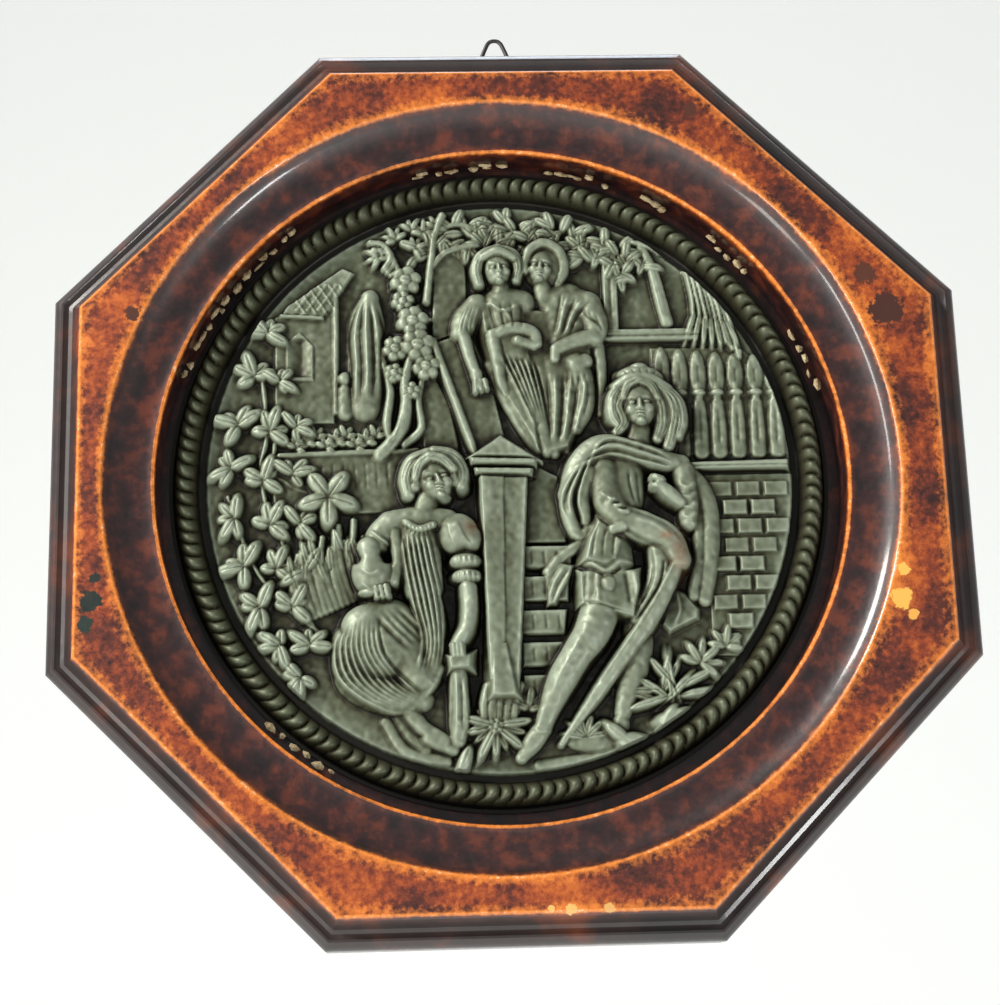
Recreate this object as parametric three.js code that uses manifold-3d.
// A round cast-metal relief plaque in an eight-sided lacquered wood frame, hung by a
// bent wire loop. Millimetres, +Z up, the front faces -Y. The origin is the point under
// the top of the wire loop where it bears on its nail.
import * as THREE from 'three';
import { mergeVertices } from 'three/addons/utils/BufferGeometryUtils.js';
import Module from 'manifold-3d';

const wasm = await Module();
wasm.setup();

// ---------------------------------------------------------------- driving sizes
const FRAME_FLAT = 141.4;        // half the width across the frame's flats
const FRAME_DEPTH = 25;          // plateau to wall
const PLATEAU_FLAT = 131.8;      // half the width across the raised plateau's flats
const CREST_R = 121.8;           // turned edge where the hollow moulding starts
const RIM_R = 106.3;             // inner wall of the recess
const RIM_DEPTH = 5.8;           // plateau down to the edge of the recess
const RECESS_DEPTH = 20;         // plateau down to the recess floor
const TURNED_X = -3;             // the turned work sits a little left of the octagon's centre
const WIRE_R = 0.7;
const WIRE_DEPTH = 23.8;         // plateau down to the middle of the wire
const LOOP_TOP = 154.9;          // wire's middle line at the top, above the frame's centre
const LOOP_X = -1.2;
const PLAQUE_R = 103;
const PLAQUE_X = -3.5;
const PLAQUE_Z = 1;
const FIELD_R = 91.5;
const FIELD_DEPTH = 17;          // plateau down to the flat field behind the figures
const GROOVE_DEPTH = 18.4;
const ROPE_R = 97.6;
const ROPE_HALF = 3.7;
const ROPE_TOP = 9.8;            // plateau down to the crown of the rope border
const ROPE_BEADS = 73;            // each stands for two beads of the real border
const GAP = 0.3;
const TOLERANCE = 0.02;          // the booleans drop edges shorter than this
const TURNED_SIDES = 56;
const PLATE_SIDES = 48;

// The frame's centre lies below the nail, and the plateau lies in front of it.
const CENTRE = new THREE.Vector3(-LOOP_X, -WIRE_DEPTH, -(LOOP_TOP - WIRE_R));

// ---------------------------------------------------------------- solids and booleans
function solid(geometry) {
  const bare = geometry.clone();
  bare.deleteAttribute('normal');
  bare.deleteAttribute('uv');
  const merged = mergeVertices(bare, 1e-4);
  const mesh = new wasm.Mesh({
    numProp: 3,
    vertProperties: new Float32Array(merged.attributes.position.array),
    triVerts: new Uint32Array(merged.index.array),
    tolerance: TOLERANCE,
  });
  return new wasm.Manifold(mesh);
}

function meshOf(body, name, material) {
  const { vertProperties, triVerts, numProp } = body.getMesh();
  const points = new Float32Array((vertProperties.length / numProp) * 3);
  for (let i = 0; i < points.length / 3; i++) {
    for (let k = 0; k < 3; k++) points[3 * i + k] = vertProperties[numProp * i + k];
  }
  const geometry = new THREE.BufferGeometry();
  geometry.setAttribute('position', new THREE.BufferAttribute(points, 3));
  geometry.setIndex(new THREE.BufferAttribute(new Uint32Array(triVerts), 1));
  geometry.computeVertexNormals();
  const mesh = new THREE.Mesh(geometry, material);
  mesh.name = name;
  mesh.position.copy(CENTRE);
  return mesh;
}

function fuse(list) {
  return list.reduce((all, one) => all.add(one));
}

// A box between two corners, each [x, y, z].
function box(lo, hi) {
  const size = lo.map((v, i) => hi[i] - v);
  const geometry = new THREE.BoxGeometry(...size);
  geometry.translate(...lo.map((v, i) => v + size[i] / 2));
  return solid(geometry);
}

// A turned shape about an axis along Y. The profile is [radius, depth] from front to back.
function turned(profile, sides, x, z, startAngle = 0) {
  const points = profile.map(([r, depth]) => new THREE.Vector2(r, depth));
  const geometry = new THREE.LatheGeometry(points, sides);
  geometry.rotateY(startAngle);
  geometry.translate(x, 0, z);
  return solid(geometry);
}

// ---------------------------------------------------------------- frame
// One piece of wood: eight mitred sides outside, a turned hollow and a blind recess inside.
function buildFrame() {
  const corner = 1 / Math.cos(Math.PI / 8);
  const side = [
    [0, 0], [PLATEAU_FLAT, 0],
    [PLATEAU_FLAT + 0.6, 0.6],
    [PLATEAU_FLAT + 3.4, 5.4],
    [PLATEAU_FLAT + 5.6, 5.9],
    [PLATEAU_FLAT + 6.7, 5.2],
    [FRAME_FLAT - 0.8, 6.2],
    [FRAME_FLAT, 8.6],
    [FRAME_FLAT, FRAME_DEPTH - 1.5],
    [FRAME_FLAT - 1.5, FRAME_DEPTH],
    [0, FRAME_DEPTH],
  ];
  const mitred = side.map(([flat, depth]) => [flat * corner, depth]);
  const blank = turned(mitred, 8, 0, 0, Math.PI / 8);
  const hollow = [[0, -2], [CREST_R + 0.9, -2], [CREST_R + 0.9, 0]];
  const steps = 4;
  for (let i = 0; i <= steps; i++) {
    const a = (i / steps) * Math.PI / 2;
    hollow.push([CREST_R - (CREST_R - RIM_R - 1.4) * (1 - Math.cos(a)), 0.5 + (RIM_DEPTH - 0.5) * Math.sin(a)]);
  }
  hollow.push([RIM_R, RIM_DEPTH + 0.5], [RIM_R, RECESS_DEPTH], [0, RECESS_DEPTH]);
  const cut = turned(hollow, TURNED_SIDES, TURNED_X, 0);
  const pocket = box([LOOP_X - 13, FRAME_DEPTH - 3.2, FRAME_FLAT - 12], [LOOP_X + 13, FRAME_DEPTH + 1, FRAME_FLAT + 1]);
  let frame = blank.subtract(cut).subtract(pocket);
  for (const x of [-LEG_X, LEG_X]) {
    frame = frame.subtract(box(
      [LOOP_X + x - LEG_HOLE, FRAME_DEPTH - 9, LEG_Z - LEG_HOLE],
      [LOOP_X + x + LEG_HOLE, FRAME_DEPTH, LEG_Z + LEG_HOLE]));
  }
  return frame;
}

// ---------------------------------------------------------------- wire loop
const LEG_X = 9.5;               // where each end of the wire turns into the wood
const LEG_Z = FRAME_FLAT - 7;
const LEG_HOLE = WIRE_R + GAP;
const LEG_DEPTH = FRAME_DEPTH - 8;

function buildLoop() {
  const half = [
    [LEG_X, LEG_DEPTH, LEG_Z],
    [LEG_X, WIRE_DEPTH - 1.4, LEG_Z],
    [LEG_X - 0.4, WIRE_DEPTH, LEG_Z + 1.4],
    [LEG_X - 3.2, WIRE_DEPTH, LEG_Z + 9],
    [3.1, WIRE_DEPTH, LOOP_TOP - 3.2],
    [1.7, WIRE_DEPTH, LOOP_TOP - 0.7],
  ];
  const left = half.map(([x, y, z]) => new THREE.Vector3(LOOP_X - x, y, z));
  const right = half.map(([x, y, z]) => new THREE.Vector3(LOOP_X + x, y, z)).reverse();
  const top = new THREE.Vector3(LOOP_X, WIRE_DEPTH, LOOP_TOP);
  const route = new THREE.CatmullRomCurve3([...left, top, ...right], false, 'centripetal');
  const section = new THREE.Shape();
  section.absarc(0, 0, WIRE_R, 0, 2 * Math.PI);
  const wire = new THREE.ExtrudeGeometry(section, { steps: 26, curveSegments: 3, extrudePath: route });
  return solid(wire);
}

// ---------------------------------------------------------------- relief plaque
// Heights are measured out from the field towards the viewer. Places are [x, z] from the
// frame's centre.
const outFrom = (height) => FIELD_DEPTH - height;

// Every form stands on the casting's ground and runs back to this height below it.
const ROOT = -1.2;
// Sections across a limb, foot to foot: how far to the side and how far up its crown.
const ROUND = [[-1, 0], [-0.72, 0.72], [0, 1], [0.72, 0.72], [1, 0]];
const RIDGE = [[-1, 0], [0, 1], [1, 0]];
const THIN = 2.9;                // limbs with a smaller radius than this are plain ridges

// A limb, trunk or roll of cloth through places [x, z, height, radius]: a crowned bar with
// short sloping ends that stands on the ground along its whole length.
function chain(places, flat = 0.75) {
  const last = places.length - 1;
  const section = places.every((place) => place[3] < THIN) ? RIDGE : ROUND;
  const beyond = (from, to) => {
    const [x, z, height, radius] = places[from];
    const step = radius * 0.7 / Math.hypot(x - places[to][0], z - places[to][1]);
    return [x + (x - places[to][0]) * step, z + (z - places[to][1]) * step, height - radius * flat * 0.5, radius * 0.55];
  };
  const rows = [beyond(0, 1), ...places, beyond(last, last - 1)];
  const geometry = new THREE.CylinderGeometry(1, 1, 1, section.length, rows.length - 1);
  const p = geometry.attributes.position;
  for (let i = 0; i < p.count; i++) {
    const row = Math.round((0.5 - p.getY(i)) * (rows.length - 1));
    const [x, z, height, radius] = rows[row];
    const before = rows[Math.max(row - 1, 0)];
    const after = rows[Math.min(row + 1, rows.length - 1)];
    const length = Math.hypot(after[0] - before[0], after[1] - before[1]);
    const across = [-(after[1] - before[1]) / length, (after[0] - before[0]) / length];
    const atAxis = Math.hypot(p.getX(i), p.getZ(i)) < 0.5;
    const turn = Math.atan2(p.getX(i), p.getZ(i)) / (2 * Math.PI) + 1;
    const [side, crown] = atAxis ? [0, 0.5] : section[Math.round(turn * section.length) % section.length];
    const top = Math.max(height + radius * flat, 0.3);
    p.setXYZ(i, x + across[0] * side * radius, outFrom(ROOT + (top - ROOT) * crown), z + across[1] * side * radius);
  }
  return solid(geometry);
}

function limb([xa, za, ha], [xb, zb, hb], ra, rb, flat = 0.75) {
  return chain([[xa, za, ha, ra], [xb, zb, hb, rb]], flat);
}

// A rounded mass: centre, half sizes across and up, its rise and its lean in degrees.
function mass([x, z, h], rx, rz, rh, lean = 0, sides = 8) {
  const profile = [[0, ROOT], [1, ROOT], [0.72, h + 0.66 * rh], [0, h + rh]];
  const points = profile.map(([r, height]) => new THREE.Vector2(r, height));
  const geometry = new THREE.LatheGeometry(points, sides);
  geometry.scale(rx, -1, rz);
  geometry.index.array.reverse();
  geometry.rotateY(THREE.MathUtils.degToRad(-lean));
  geometry.translate(x, FIELD_DEPTH, z);
  return solid(geometry);
}

// A flat-faced block with a straight-sided outline, from behind the field out to a height.
function block(outline, height, back = -1) {
  const shape = new THREE.Shape(outline.map(([x, z]) => new THREE.Vector2(x, z)));
  const geometry = new THREE.ExtrudeGeometry(shape, { depth: height - back, bevelEnabled: false });
  geometry.rotateX(Math.PI / 2);
  geometry.translate(0, outFrom(back), 0);
  return solid(geometry);
}

function strip([xa, za], [xb, zb], width, height) {
  const nx = -(zb - za);
  const nz = xb - xa;
  const k = width / 2 / Math.hypot(nx, nz);
  return block([
    [xa - nx * k, za - nz * k], [xb - nx * k, zb - nz * k],
    [xb + nx * k, zb + nz * k], [xa + nx * k, za + nz * k]], height);
}

// A leaf is a thin pointed lozenge leaning out of the field.
function leaf(x, z, height, length, width, direction) {
  const geometry = new THREE.OctahedronGeometry(1);
  geometry.scale(length / 2, height, width / 2);
  geometry.rotateY(THREE.MathUtils.degToRad(-direction));
  geometry.translate(x, outFrom(-0.5), z);
  return solid(geometry);
}

// A spray of leaves around one stalk: [direction, length] each.
function spray(x, z, height, leaves) {
  return fuse(leaves.map(([direction, length]) => {
    const a = THREE.MathUtils.degToRad(direction);
    const reach = length * 0.52;
    return leaf(x + reach * Math.cos(a), z + reach * Math.sin(a), height, length, length * 0.5, direction);
  }));
}

// The garden behind: a gabled house, a garden statue, a wall, a fence, a tree and brickwork.
function buildGarden() {
  const parts = [
    block([[-71, 14], [-55, 14], [-55, 74], [-74, 56]], 1.1),
    strip([-73, 57], [-50, 73], 2.2, 1.9),
    strip([-72, 57.5], [-57, 57.5], 1.6, 1.7),
    chain([[-46.5, 63, 0.6, 4.6], [-45, 54, 0.8, 7], [-46, 30, 0.6, 6]], 0.5),
    mass([-54, 17, 0], 14, 6, 2.4),
    block([[-68, -30], [-28, -30], [-28, 11.5], [-66, 11.5]], 1.47),
    strip([-67, 11], [-14, 10.5], 1.8, 2.1),
    chain([[-42, 12.5, 1, 1.6], [-34, 20, 1.6, 2], [-31, 34, 2, 1.7], [-29, 52, 2, 2]], 0.8),
    chain([[-28, 57, 1.4, 2], [-24, 74, 1.6, 1.8], [-19.5, 85, 1.4, 1.3]], 0.8),
    chain([[-24, 75, 1.6, 1.3], [-17, 80, 2, 1.2], [-9, 80, 2, 0.9]], 0.8),
    block([[32, 50], [36, 50], [36.5, 83], [33, 83]], 1.6),
    chain([[50, 53, 0.8, 4], [48, 63, 1, 2.6], [47, 71, 1, 2.2], [43, 79, 0.8, 1.6]], 0.8),
    block([[31, 46.5], [60, 47], [60, 52], [31, 52]], 2.6),
    block([[34, 8], [85, 8], [85, 36], [79, 44], [60, 47.5], [34, 46]], 0.7),
    strip([54, 6], [85, 6], 3.2, 1.9),
  ];
  for (let i = 0; i < 5; i++) parts.push(strip([53 + 6.6 * i, 44 - i], [53 + 6.6 * i, 9], 3.6, 1.6));
  const courses = 4;
  for (let i = 0; i < courses; i++) {
    const z = 2.5 - i * 12;
    const right = Math.sqrt(FIELD_R ** 2 - (z - 10) ** 2) + PLAQUE_X - 2.5;
    parts.push(block([[62, z - 11], [right, z - 11], [right, z], [62, z]], 1.1));
  }
  // roses on the twisted tree, and the crown of leaves along the top
  for (const [x, z, r] of [[-30, 53, 4.6], [-35.5, 44, 4], [-28.5, 45, 5.4], [-26, 38, 4.2], [-32, 68, 5.4]]) {
    parts.push(mass([x, z, 1.6], r, r * 0.9, 3, 0, 6));
  }
  for (let i = 0; i < 8; i++) {
    const a = THREE.MathUtils.degToRad(64 + 8.9 * i);
    const r = 86.5 + 1.6 * Math.sin(i * 2.3);
    parts.push(mass([PLAQUE_X + r * Math.cos(a), PLAQUE_Z + r * Math.sin(a), 0.3], 6.4, 3.4, 2.6, i * 47, 6));
  }
  for (let i = 0; i < 4; i++) {
    parts.push(limb([47 + i * 5.2, 76 - i * 5.4, 1], [62 + i * 3.6, 55 - i * 2.4, 1.6], 1.6, 2.4, 0.8));
  }
  return fuse(parts);
}

// The stone steps, their sloping parapet and the capped pier at its foot.
function buildSteps() {
  const parts = [
    block([[-24, 49], [-13.5, 49], [-11.5, 79], [-21.5, 79]], 2.6),
    block([[-24, 48], [-11, 48], [6, 14], [6, 4], [-11, 4]], 3.4),
    strip([-23, 47], [-9.5, 7], 2.2, 4.2),
    block([[-10.2, 2], [4.3, 2], [1, -68], [-8.5, -68]], 4.2),
    block([[-10.2, 2], [-1.6, 2], [-2, -50], [-9.2, -50]], 5.2),
    block([[-12, 5.5], [6.5, 3.6], [5.4, -0.6], [-11, 0.4]], 6.2),
    block([[-13.5, 8], [8, 6.2], [7.2, 3.8], [-12.8, 5]], 7),
    block([[-13, 7.6], [-3.8, 13.4], [7.4, 6]], 6.2),
    block([[-9.6, -50], [-1, -50], [-0.6, -68], [-8.4, -68]], 5.6),
  ];
  for (let i = 0; i < 6; i++) {
    const z = -22 - 9.2 * i;
    parts.push(block([[1, z - 6.5], [17 - i, z - 6.5], [17 - i, z], [1, z]], 1 + 0.6 * i));
  }
  return fuse(parts);
}

// The couple standing on the steps.
function buildCouple() {
  const parts = [
    mass([-2.5, 70, 2.6], 5, 6.4, 4.4, 8),
    mass([-3.2, 73.5, 2.2], 6.4, 5, 4.2),
    limb([-2, 66, 2], [-1.5, 60, 2], 2.8, 3.4),
    limb([-8, 57, 2], [7, 57, 2], 6.4, 6, 0.62),
    limb([-1, 56, 2.2], [0, 45, 2.6], 8.4, 6.4, 0.6),
    chain([[-11.5, 57, 2.2, 4.6], [-14.5, 48.5, 2.6, 3.8]], 0.8),
    chain([[-14, 48, 3, 2], [-11.5, 38, 3.4, 1.6], [-9.5, 31.5, 3.6, 2]], 0.9),
    chain([[-3, 48, 3.4, 2.4], [4, 49.5, 4, 2.8], [8.5, 46, 4, 2.4]], 0.9),
    chain([[-2.5, 47, 3.6, 3], [-3.5, 38, 3.8, 2.2], [-1, 30, 3, 1.6]], 0.9),
    limb([1.5, 42, 2.2], [11, 12, 2], 6.6, 2.4, 0.8),
    limb([6, 42, 2.6], [11.5, 14, 2.4], 3.2, 1.6, 0.9),
    limb([-4, 38, 1.8], [6, 14, 1.6], 3.4, 2, 0.9),
    mass([11.5, 71.5, 2], 5, 6.2, 4, -8),
    mass([12.5, 72, 1.2], 7.4, 7.6, 3.4),
    limb([12, 62, 1.6], [24, 57, 1.6], 5, 6.4, 0.7),
    limb([18, 58, 1.4], [19, 40, 1.4], 10, 7.5, 0.45),
    chain([[26, 58, 2, 5.2], [26.5, 50, 2.6, 4.4]], 0.8),
    chain([[27, 50, 2.8, 3.4], [16, 43, 3.6, 2.4]], 0.9),
    limb([22, 40, 2], [24, 22, 1.6], 5, 4, 0.8),
    limb([29, 44, 1.6], [28.5, 22, 1], 2.4, 1.4, 0.9),
    limb([15.5, 38, 1.6], [14, 12, 1.2], 4, 2.6, 0.8),
  ];
  return fuse(parts);
}

// The young man in a short cloak, one leg forward, a long sash hanging from his arm.
function buildYouth() {
  const parts = [
    mass([40.5, 23.5, 4.4], 6, 7.6, 5.2, 0, 10),
    mass([41, 31, 4], 8, 4, 5, 8),
    chain([[34.5, 29, 3.4, 2.8], [32.5, 22, 3.4, 2.8], [33.5, 15, 3.2, 2.4]]),
    chain([[48, 29, 3.4, 3.4], [51, 21, 3.4, 3.4], [49.5, 12, 3, 3]]),
    limb([40, 18, 3.6], [39.5, 8, 3.6], 4, 4.4),
    chain([[51, 5.5, 3.2, 3.4], [40, 7, 4.6, 4], [28, 8.5, 4.4, 4], [20, 1, 4, 3.4], [17, -9, 3.4, 2.6]], 0.9),
    chain([[17, -9, 3.2, 2.4], [20.5, -18, 3.2, 2], [27.5, -13, 3.4, 1.6]], 0.9),
    limb([29, 3, 3.4], [33, -13, 3.8], 8, 7, 0.72),
    limb([43, 3, 3], [42, -14, 3.4], 7, 7, 0.72),
    chain([[29, -4, 5, 5], [33, -13, 5.6, 5], [46, -17, 5.8, 4.6], [49.5, -24, 5.2, 3.8]], 0.9),
    chain([[52, -1, 4, 3.4], [49.5, -7, 5, 3], [45, -6, 5.4, 2.2]], 0.9),
    chain([[57, -6, 2, 3], [60, -14, 2.2, 3.4], [58, -32, 2, 3.4], [54, -48, 1.2, 3]], 0.9),
    limb([28.5, -18, 3.2], [28.5, -38, 3.6], 8.4, 8.6, 0.62),
    chain([[23, -20, 3, 1.8], [15, -26, 3, 2.6], [12, -34, 3.2, 3.6]], 0.8),
    chain([[27, -42, 4, 5.4], [18.5, -55, 5, 4.4], [12.5, -64, 4.4, 3.9], [6.5, -76, 3.6, 2.2]], 0.9),
    chain([[6, -77, 3.4, 2.6], [3, -84, 2.8, 2.4]], 0.9),
    chain([[38, -44, 2.6, 4.6], [36.5, -58, 3, 3.8], [31.5, -73, 2.6, 2.2], [30, -79, 2, 2.6]], 0.9),
    chain([[49, -27, 5, 2.6], [41, -42, 5, 3], [27.5, -61, 4.4, 2.4], [13, -81, 2.6, 1]], 0.9),
    mass([40, -84, 0.4], 6, 2.6, 2.4, 20, 7),
  ];
  return fuse(parts);
}

// The young woman sitting below the pier, a jug in her lap and a cloth in her hand.
function buildGirl() {
  const folds = 4;
  const parts = [
    mass([-24, 1.5, 4.6], 6, 7.6, 5, 14, 10),
    mass([-24, 5, 4], 8, 6, 5, 10),
    limb([-26, -5, 3.6], [-27, -11, 3.6], 3.6, 4.4),
    limb([-36, -13.5, 3.6], [-19, -13, 3.8], 5, 5, 0.8),
    limb([-29, -15, 3.6], [-28, -33, 4], 8, 6.4, 0.75),
    chain([[-39, -14, 3.8, 4.6], [-41.5, -19, 4, 4.6]], 0.85),
    mass([-43.5, -27, 4.2], 6.4, 8, 5, 0),
    limb([-16.5, -15, 4.2], [-14, -20, 4.2], 5.6, 5.2, 0.85),
    chain([[-14.5, -25, 4, 4], [-14, -32.5, 4, 3.2]], 0.85),
    chain([[-14.5, -34, 4, 2.5], [-14.5, -44, 4.2, 2.2], [-18, -50.5, 4.4, 2.2], [-17, -55, 4.6, 3]], 0.95),
    chain([[-17.5, -58, 4, 2.6], [-17.5, -70, 4, 3], [-18, -80, 3, 3.4]], 0.8),
    mass([-40, -49, 3], 14, 13, 6, 20, 10),
    limb([-27, -34, 4], [-25, -58, 3.2], 5.4, 4, 0.85),
    limb([-30, -76, 1.4], [-18, -84, 1.4], 4, 2.6, 0.8),
  ];
  for (let i = 0; i < folds; i++) {
    const spread = i / (folds - 1);
    parts.push(chain([
      [-49 + 12 * spread, -43 - 3 * spread, 6 - spread, 1.6],
      [-52 + 14 * spread, -56 - 2 * spread, 4.4 - spread, 2],
      [-46 + 16 * spread, -67.5 - 1.5 * Math.sin(Math.PI * spread), 2.2, 1.9],
    ], 0.95, 6));
  }
  return fuse(parts);
}

// The climbing plant on the left and the plants at the figures' feet.
function buildPlants() {
  const star = (turn, length) => [0, 90, 180, 270].map((a) => [a + turn, length]);
  const parts = [
    chain([[-73, 22, 1.4, 1], [-69, 5, 1.6, 1.2], [-64, -16, 1.8, 1.4], [-58, -38, 2, 1.6], [-57, -52, 2, 1.2]], 0.9),
    chain([[-87, -2, 1, 1], [-84, -18, 1.4, 1.2], [-73, -36, 1.6, 1.2], [-60, -46, 2, 1.2]], 0.9),
    spray(-75, 47, 3.2, [[75, 14], [170, 11], [215, 11], [-35, 12]]),
    spray(-79, 31, 3.4, [[100, 11], [185, 12], [25, 12], [-60, 13], [-100, 13]]),
    spray(-84, 16, 3, [[160, 12], [200, 12], [-60, 9]]),
    spray(-74, 15, 3.6, [[150, 12], [15, 13], [-70, 15], [-115, 14]]),
    spray(-88, 4, 3, [[170, 10], [-25, 12], [-120, 10]]),
    spray(-74, -8, 4, [[150, 12], [200, 11], [-30, 13], [-95, 13]]),
    spray(-57, -2, 3.4, star(8, 11)),
    spray(-81, -27, 3.2, [[160, 10], [20, 12], [-60, 12]]),
    spray(-63, -43, 3.2, [[140, 10], [80, 10], [195, 15]]),
    spray(-64, -56, 3, [[160, 15], [200, 12], [40, 9]]),
    spray(-8, -78, 3, [[70, 12], [115, 12], [20, 11], [-60, 11], [-130, 11]]),
    spray(46, -66, 2.8, [[100, 14], [50, 14], [0, 13], [-35, 12]]),
    spray(43, -78, 3, [[15, 12], [205, 12]]),
  ];
  for (let i = 0; i < 5; i++) {
    const lean = -0.9 + 0.45 * i;
    parts.push(limb([-60, -34, 1.6], [-60 + 9 * lean, -12 - 3 * Math.abs(lean), 1], 1.8, 1.4, 0.8));
  }
  return fuse(parts);
}

// The rope border: round beads that lean on each other, all the way round.
function buildRope() {
  const profile = [
    [-ROPE_HALF, GROOVE_DEPTH + 0.4], [-ROPE_HALF * 0.6, ROPE_TOP],
    [ROPE_HALF * 0.6, ROPE_TOP], [ROPE_HALF, GROOVE_DEPTH + 0.4],
  ].map(([r, depth]) => new THREE.Vector2(ROPE_R + r, depth));
  profile.push(profile[0].clone());
  const geometry = new THREE.LatheGeometry(profile, 2 * ROPE_BEADS);
  const p = geometry.attributes.position;
  for (let i = 0; i < p.count; i++) {
    const ring = Math.floor(i / profile.length);
    const between = ring % 2 === 1;
    if (!between || p.getY(i) > FIELD_DEPTH) continue;
    p.setY(i, p.getY(i) + 1.3);
  }
  geometry.translate(PLAQUE_X, 0, PLAQUE_Z);
  return solid(geometry);
}

function buildPlaque() {
  const back = RECESS_DEPTH - GAP;
  const plate = turned([
    [0, FIELD_DEPTH], [FIELD_R - 0.6, FIELD_DEPTH], [FIELD_R, GROOVE_DEPTH],
    [ROPE_R, GROOVE_DEPTH], [PLAQUE_R - 1, GROOVE_DEPTH - 1], [PLAQUE_R, GROOVE_DEPTH],
    [PLAQUE_R, back], [0, back],
  ], PLATE_SIDES, PLAQUE_X, PLAQUE_Z);
  const ground = mass([PLAQUE_X, -84, -1], 62, 26, 3.6, 0, 16);
  const scene = fuse([buildGarden(), buildSteps(), buildCouple(), buildYouth(), buildGirl(), buildPlants(), ground]);
  const field = turned([[0, 0], [FIELD_R, 0], [FIELD_R, back], [0, back]], PLATE_SIDES, PLAQUE_X, PLAQUE_Z);
  return plate.add(scene.intersect(field)).add(buildRope());
}

// ---------------------------------------------------------------- the finished object
const lacqueredWood = new THREE.MeshStandardMaterial({ color: 0x7a2c0e, roughness: 0.28, metalness: 0 });
const patinatedMetal = new THREE.MeshStandardMaterial({ color: 0x6f7765, roughness: 0.5, metalness: 0.75 });
const darkSteel = new THREE.MeshStandardMaterial({ color: 0x3a332c, roughness: 0.45, metalness: 0.9 });

const group = new THREE.Group();
group.add(meshOf(buildFrame(), 'frame', lacqueredWood));
group.add(meshOf(buildPlaque(), 'relief_plaque', patinatedMetal));
group.add(meshOf(buildLoop(), 'hanging_loop', darkSteel));

export default group;
